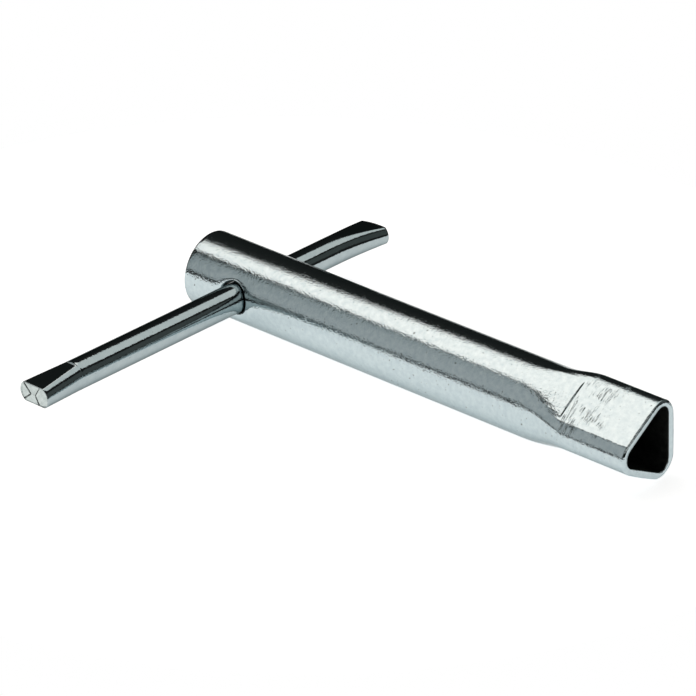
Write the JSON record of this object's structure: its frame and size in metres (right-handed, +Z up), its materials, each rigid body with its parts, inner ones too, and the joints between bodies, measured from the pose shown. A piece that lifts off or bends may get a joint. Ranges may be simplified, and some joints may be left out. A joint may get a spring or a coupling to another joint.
{
  "type": "bleed key",
  "caption": "Tubular bleed key: round tube with a rounded triangular socket pressed into one end and a loose sliding cross bar with pinched ends.",
  "frame": {"origin": "under the middle of the tool's box as it lies on its side, on the surface it lies on", "axes": "+X along the tube towards the socket's mouth, +Y along the sliding bar, +Z up"},
  "size_m": [0.128, 0.1136, 0.0189],
  "materials": {
    "tube_zinc": "bright zinc plate, satin",
    "bar_zinc": "bright zinc plate, smooth"
  },
  "bodies": {
    "socket_tube": {"socket_tube": "tube_zinc"},
    "sliding_bar": {"sliding_bar": "bar_zinc"}
  },
  "joints": [
    {"name": "bar_slide", "type": "slide", "parent": "socket_tube", "child": "sliding_bar", "axis": [0, 1, 0], "range_m": [-0.0255, 0.057]}
  ]
}
